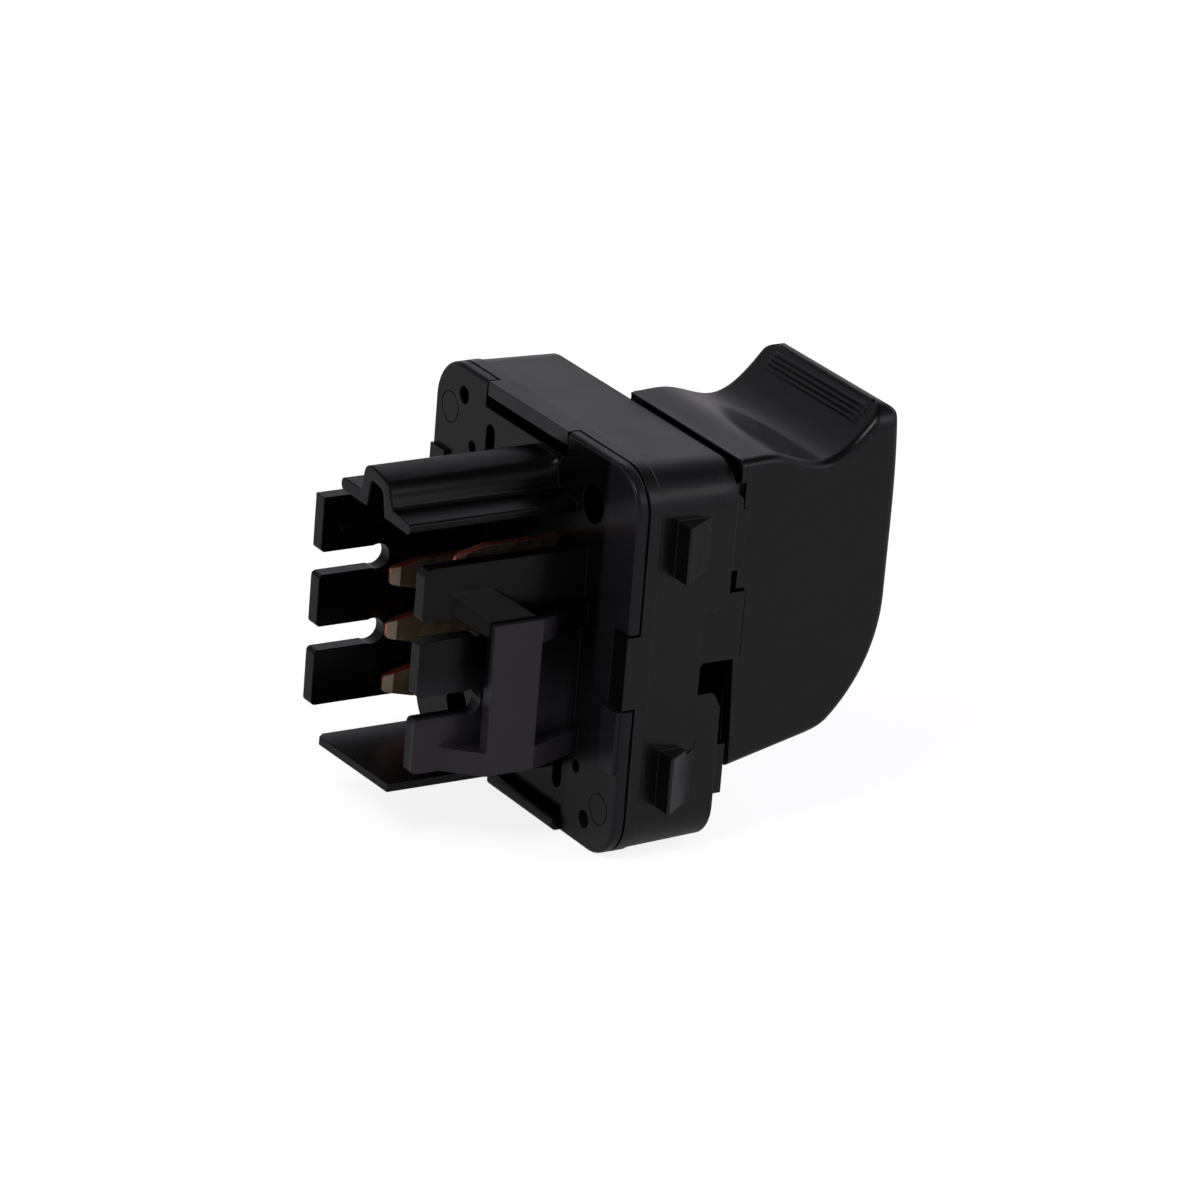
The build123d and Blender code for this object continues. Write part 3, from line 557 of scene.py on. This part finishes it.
def skin_rings(name: str, rings: list[list[Point]]) -> bpy.types.Object:
    """Make a closed mesh through sections of equal length, with a cap on each end.

    Args:
        name: Object name.
        rings: Sections in millimetres, each a closed loop in the same order.

    Returns:
        The new object, in metres.
    """
    form = bmesh.new()
    loops = [[form.verts.new(Vector(point) * MM) for point in ring] for ring in rings]
    for one, other in zip(loops, loops[1:]):
        for i in range(len(one)):
            j = (i + 1) % len(one)
            form.faces.new((one[i], one[j], other[j], other[i]))
    form.faces.new(loops[0][::-1])
    form.faces.new(loops[-1])
    bmesh.ops.recalc_face_normals(form, faces=form.faces)
    made = object_from(form, name)
    made.data.shade_smooth()
    made.data.set_sharp_from_angle(angle=math.radians(SHARP_ABOVE))
    return made


@dataclass(frozen=True)
class RoofCrown:
    """The rear moulding with its keying hump crowned: the solid's hump is flat on top.

    Attributes:
        middle: X of the crown's top.
        radius: Radius of the crown across X.
        cuts: X of the cuts that give the flat top its new corners.
        low: Z at which the crown starts to act.
        full: Z from which it acts in full.
        plate: Y of the plate's back, where it ends.
        blend: Length along Y over which it comes in.
    """

    middle: float = 0.3
    radius: float = 7.0
    cuts: tuple[float, ...] = (0.7, 1.1, 1.5, 1.9, 2.3, 2.6)
    low: float = 30.6
    full: float = 31.9
    plate: float = -0.001
    blend: float = 0.7

    def on_hump(self, face: bmesh.types.BMFace) -> bool:
        """Whether a face belongs to the hump and stands clear of the plate."""
        high = all(corner.co.y <= 0.0 and corner.co.z > self.low * MM for corner in face.verts)
        return high and any(corner.co.y < -0.5 * self.blend * MM for corner in face.verts)

    def fall(self, spot: Vector) -> float:
        """How far a point of the hump sinks.

        Args:
            spot: The point, in millimetres.

        Returns:
            The distance in millimetres.
        """
        across = (spot.x - self.middle) ** 2 / (2 * self.radius)
        raised = share_between(spot.z, self.low, self.full)
        along = share_between(-spot.y, -self.plate, self.blend - self.plate)
        return across * raised * along

    def cut(self, form: bmesh.types.BMesh) -> None:
        """Cut the hump across X and at the end of its blend.

        Args:
            form: The moulding.
        """
        ways = [((x, 0.0, 0.0), (1.0, 0.0, 0.0)) for x in self.cuts]
        ways.append(((0.0, -self.blend, 0.0), (0.0, 1.0, 0.0)))
        for place, way in ways:
            faces = [face for face in form.faces if self.on_hump(face)]
            edges = {edge for face in faces for edge in face.edges}
            corners = {corner for face in faces for corner in face.verts}
            bmesh.ops.bisect_plane(
                form,
                geom=[*corners, *edges, *faces],
                dist=SAME_CORNER,
                plane_co=Vector(place) * MM,
                plane_no=way,
            )
        bmesh.ops.remove_doubles(form, verts=form.verts, dist=CUT_JOIN)

    def build(self, solid: bpy.types.Object, material: bpy.types.Material) -> None:
        """Make the crowned moulding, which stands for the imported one.

        Args:
            solid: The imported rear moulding.
            material: Its material.
        """
        form = bmesh.new()
        form.from_mesh(solid.data)
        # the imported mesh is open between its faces: they stay sharp there and are joined before the cuts
        for edge in form.edges:
            edge.smooth = len(edge.link_faces) == 2
        bmesh.ops.remove_doubles(form, verts=form.verts, dist=SAME_CORNER)
        self.cut(form)
        for corner in form.verts:
            corner.co.z -= self.fall(corner.co / MM) * MM
        bmesh.ops.triangulate(form, faces=[face for face in form.faces if len(face.verts) > 3])
        for face in form.faces:
            face.smooth = True
        crowned = object_from(form, "base_crowned")
        crowned.data.materials.append(material)
        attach(crowned, "case")
        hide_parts("base")
        LOG.info("%s: %d corners", crowned.name, len(crowned.data.vertices))


@dataclass(frozen=True)
class HousingCorner:
    """The rim that carries the housing's rounded corner past the rocker's well.

    Attributes:
        centre: The corner's middle, as X and Z.
        radius: Outer radius at the band's front.
        band_front: Y of the band's front, where the draft starts.
        draft: Draft of the housing's sides, in degrees.
        inset: How far the rim lies inside the housing's skin.
        thickness: Thickness of the rim.
        root: Y inside the panel, where the rim starts.
        front: Y of the rim's front over the top.
        side_front: Y of its front at the side, beside the rocker.
        edge_round: Rounding of its outer front edge.
        edge_steps: Steps of that rounding.
        first: Angle at which it starts, from +X towards +Z, in degrees.
        turn: Angle up to which the side's front holds.
        settle: Angle over which it then falls to the top's front.
        last: Angle at which it ends.
        sections: Number of sections between first and last.
    """

    centre: tuple[float, float] = (13.1, 31.5)
    radius: float = 3.9
    band_front: float = 2.4
    draft: float = 2.0
    inset: float = 0.005
    thickness: float = 0.15
    root: float = 8.6
    front: float = 10.24
    side_front: float = 10.75
    edge_round: float = 0.12
    edge_steps: int = 5
    first: float = -4.0
    turn: float = 11.0
    settle: float = 9.0
    last: float = 56.0
    sections: int = 31

    def section(self, angle: float) -> list[Point]:
        """The rim's section at one angle.

        Args:
            angle: Angle round the corner, in degrees.

        Returns:
            The section's points.
        """
        fall = share_between(angle, self.turn, self.turn + self.settle)
        front = self.side_front + (self.front - self.side_front) * fall * fall * (3 - 2 * fall)
        outline = [(self.root, 0.0)]
        for step in range(self.edge_steps + 1):
            bend = math.radians(90.0 * step / self.edge_steps)
            back = self.edge_round * (1 - math.sin(bend))
            outline.append((front - back, self.edge_round * (1 - math.cos(bend))))
        outline += [(front, self.thickness), (self.root, self.thickness)]
        across = math.radians(angle)
        points = []
        for y, depth in outline:
            skin = self.radius - self.inset - (y - self.band_front) * math.tan(math.radians(self.draft))
            reach = skin - depth
            x = self.centre[0] + reach * math.cos(across)
            points.append((x, y, self.centre[1] + reach * math.sin(across)))
        return points

    def build(self, material: bpy.types.Material) -> None:
        """Make the rim and hang it on the case.

        Args:
            material: The housing's material.
        """
        step = (self.last - self.first) / (self.sections - 1)
        angles = [self.first + step * i for i in range(self.sections)]
        rim = skin_rings("housing_rim_corner", [self.section(angle) for angle in angles])
        rim.data.materials.append(material)
        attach(rim, "case")
        LOG.info("%s: %d sections", rim.name, self.sections)


@dataclass(frozen=True)
class RockerCheek:
    """The near end of the rocker's deck lip, which closes over the housing's rounded corner.

    Attributes:
        side: X of the rocker's near side, just inside its skin.
        top: Z of the deck, just inside its skin.
        edge_round: Rounding between the two.
        edge_steps: Steps of that rounding.
        inner: X at which it meets the deck lip.
        centre: Middle of the housing's corner, as X and Z.
        clear: Radius round that middle that stays free for the housing.
        clear_steps: Steps of that arc.
        rear: Y of its rear face.
        front: Y inside the rocker's wall, where it ends.
    """

    side: float = 16.34
    top: float = 35.44
    edge_round: float = 0.79
    edge_steps: int = 8
    inner: float = 15.2
    centre: tuple[float, float] = (13.1, 31.5)
    clear: float = 3.8
    clear_steps: int = 9
    rear: float = 10.56
    front: float = 11.4

    def section(self) -> list[tuple[float, float]]:
        """The cheek's outline, as X and Z.

        Returns:
            The outline's points.
        """
        first = math.acos((self.side - self.centre[0]) / self.clear)
        last = math.acos((self.inner - self.centre[0]) / self.clear)
        points = []
        for step in range(self.edge_steps + 1):
            bend = math.radians(90.0 * step / self.edge_steps)
            x = self.side - self.edge_round * (1 - math.cos(bend))
            points.append((x, self.top - self.edge_round * (1 - math.sin(bend))))
        points.append((self.inner, self.top))
        for step in range(self.clear_steps + 1):
            angle = last + (first - last) * step / self.clear_steps
            x = self.centre[0] + self.clear * math.cos(angle)
            points.append((x, self.centre[1] + self.clear * math.sin(angle)))
        return points

    def build(self, material: bpy.types.Material) -> None:
        """Make the cheek and hang it on the rocker.

        Args:
            material: The rocker's material.
        """
        outline = self.section()
        cheek = skin_rings("rocker_cheek", [[(x, y, z) for x, z in outline] for y in (self.rear, self.front)])
        cheek.data.materials.append(material)
        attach(cheek, "rocker")
        LOG.info("%s: %d corners", cheek.name, len(outline))


@dataclass(frozen=True)
class SoftLamp:
    """A round soft lamp.

    Attributes:
        name: Its name.
        place: Its place in metres.
        size: Its diameter in metres.
        watts: Its power.
    """

    name: str
    place: Point
    size: float
    watts: float

    def hang(self, aim: Vector) -> None:
        """Hang it in the scene.

        Args:
            aim: The point that it shines at, in metres.
        """
        data = bpy.data.lights.new(self.name, "AREA")
        data.shape = "DISK"
        data.size = self.size
        data.energy = self.watts
        lamp = bpy.data.objects.new(self.name, data)
        lamp.location = self.place
        lamp.rotation_euler = (Vector(self.place) - aim).to_track_quat("Z", "Y").to_euler()
        bpy.context.scene.collection.objects.link(lamp)


@dataclass(frozen=True)
class Studio:
    """Pale surroundings, soft lamps and the camera of the photograph.

    Attributes:
        eye_mm: The camera's place.
        azimuth: Its direction round the object, in degrees.
        elevation: Its height above the horizon, in degrees.
        roll: Its lean, in degrees.
        focal: Focal length in pixels of the frame.
        frame_pixels: Width of the photograph's frame in pixels.
        sensor_mm: Width of the camera's sensor.
        clip: Nearest and farthest distance that the camera sees, in metres.
        aim: The point that the lamps shine at, in metres.
        floor_size: Width of the floor in metres.
        floor_white: Its glow where the camera looks.
        floor_glow: Its glow as a light.
        floor_paper: Colour of its paper.
        soft_light: Strength of the tent's light.
        light_colour: Colour of that light.
        mirrored: Share of the white that glossy and transmitted rays get.
        rear_fade: Y of the direction from which the tent is dim behind the connector, and where it is full.
        rear_dim: How dim it is there, as a share of the tent's light.
        overhead_fade: Z of the direction from which the tent fades overhead, and where it ends.
        overhead_dim: How dim the opening overhead is, as a share of the tent's light.
        lamps: The soft lamps.
    """

    eye_mm: Point = (483.362, -304.148, 238.501)
    azimuth: float = 57.162
    elevation: float = 21.04
    roll: float = 4.705
    focal: float = 7077.7
    frame_pixels: int = 1200
    sensor_mm: float = 36.0
    clip: Span = (0.01, 50.0)
    aim: Point = (0.0, 0.002, 0.018)
    floor_size: float = 6.0
    floor_white: float = 0.84
    floor_glow: float = 0.12
    floor_paper: str = "#e4e2e6"
    soft_light: float = 0.42
    light_colour: str = "#f8f4ff"
    mirrored: float = 0.03
    rear_fade: Span = (-0.6, 0.5)
    rear_dim: float = 0.35
    overhead_fade: Span = (0.62, 0.84)
    overhead_dim: float = 0.1
    lamps: tuple[SoftLamp, ...] = (
        SoftLamp("lamp_key", (0.26, -0.5, 0.63), 0.25, 0.8),
        SoftLamp("lamp_near_side", (0.63, 0.46, 0.45), 0.35, 0.2),
        SoftLamp("lamp_connector_side", (-0.2, -0.75, 0.2), 0.4, 0.5),
        SoftLamp("lamp_rocker_side", (-0.25, 0.9, 0.3), 0.5, 0.5),
    )

    def camera(self) -> None:
        """Place the camera as the photograph was taken."""
        az, el, roll = (math.radians(a) for a in (self.azimuth, self.elevation, self.roll))
        back = Vector((math.sin(az) * math.cos(el), -math.cos(az) * math.cos(el), math.sin(el)))
        right = Vector((math.cos(az), math.sin(az), 0.0))
        up = back.cross(right)
        leaning_right = math.cos(roll) * right + math.sin(roll) * up
        leaning_up = -math.sin(roll) * right + math.cos(roll) * up
        data = bpy.data.cameras.new("camera")
        data.sensor_width = self.sensor_mm
        data.lens = self.sensor_mm * self.focal / self.frame_pixels
        data.clip_start, data.clip_end = self.clip
        eye = bpy.data.objects.new("camera", data)
        turn = Matrix((leaning_right, leaning_up, back)).transposed().to_4x4()
        eye.matrix_world = Matrix.Translation(Vector(self.eye_mm) * MM) @ turn
        bpy.context.scene.collection.objects.link(eye)
        bpy.context.scene.camera = eye

    def background_share(self, tree: Tree) -> Socket:
        """One where the camera looks, the mirrored share for glossy and transmitted rays, zero for light.

        Args:
            tree: The node tree that needs it.

        Returns:
            The socket that carries it.
        """
        path = add_node(tree, "LightPath").outputs
        through = combine(tree, "MAXIMUM", path["Is Glossy Ray"], path["Is Transmission Ray"])
        dimmed = combine(tree, "MULTIPLY", through, self.mirrored)
        return combine(tree, "MAXIMUM", path["Is Camera Ray"], dimmed)

    def tent(self) -> None:
        """A white world that lights as a pale tent, dimmer behind the connector and overhead."""
        world = bpy.data.worlds.new("white_surroundings")
        bpy.context.scene.world = world
        tree = empty_tree(world)
        seen = self.background_share(tree)
        toward = add_node(tree, "SeparateXYZ", {"Vector": add_node(tree, "TexCoord").outputs["Generated"]})
        behind = self.rear_dim * self.soft_light
        overhead = self.overhead_dim * self.soft_light
        wall = ramp(tree, toward.outputs["Y"], self.rear_fade, (behind, self.soft_light))
        room = ramp(tree, toward.outputs["Z"], self.overhead_fade, (wall, overhead))
        level = ramp(tree, seen, target=(room, 1.0))
        hue = mix_colours(tree, seen, linear(self.light_colour), linear(WHITE))
        sky = add_node(tree, "Background", {"Color": hue, "Strength": level})
        add_node(tree, "OutputWorld", {"Surface": sky.outputs[0]})

    def floor(self) -> None:
        """A pale paper floor that keeps the object's shadow."""
        form = bmesh.new()
        half = self.floor_size / 2
        spots = ((-half, -half), (half, -half), (half, half), (-half, half))
        form.faces.new([form.verts.new((x, y, 0.0)) for x, y in spots])
        floor = object_from(form, "floor")
        paper = bpy.data.materials.new("white_paper_sweep")
        tree = empty_tree(paper)
        glow = ramp(tree, self.background_share(tree), target=(self.floor_glow, self.floor_white))
        lit = add_node(tree, "Emission", {"Color": linear(WHITE), "Strength": glow})
        matte = add_node(tree, "BsdfDiffuse", {"Color": linear(self.floor_paper)})
        sheet = add_node(tree, "AddShader", {0: lit.outputs[0], 1: matte.outputs[0]})
        add_node(tree, "OutputMaterial", {"Surface": sheet.outputs[0]})
        floor.data.materials.append(paper)

    def build(self) -> None:
        """Set up camera, lamps and surroundings."""
        bpy.context.scene.view_settings.view_transform = "Standard"
        self.camera()
        for lamp in self.lamps:
            lamp.hang(Vector(self.aim))
        self.tent()
        self.floor()


def main() -> None:
    """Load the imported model, dress it and light it."""
    logging.basicConfig(level=logging.INFO, format="%(message)s")
    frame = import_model()
    materials = Dressing().apply(frame["nodes"])
    RoofCrown().build(frame["nodes"]["base"], materials[BASE_BLACK.name])
    HousingCorner().build(materials[CASE_BLACK.name])
    RockerCheek().build(materials[ROCKER_BLACK.name])
    Studio().build()


if __name__ == "__main__":
    main()
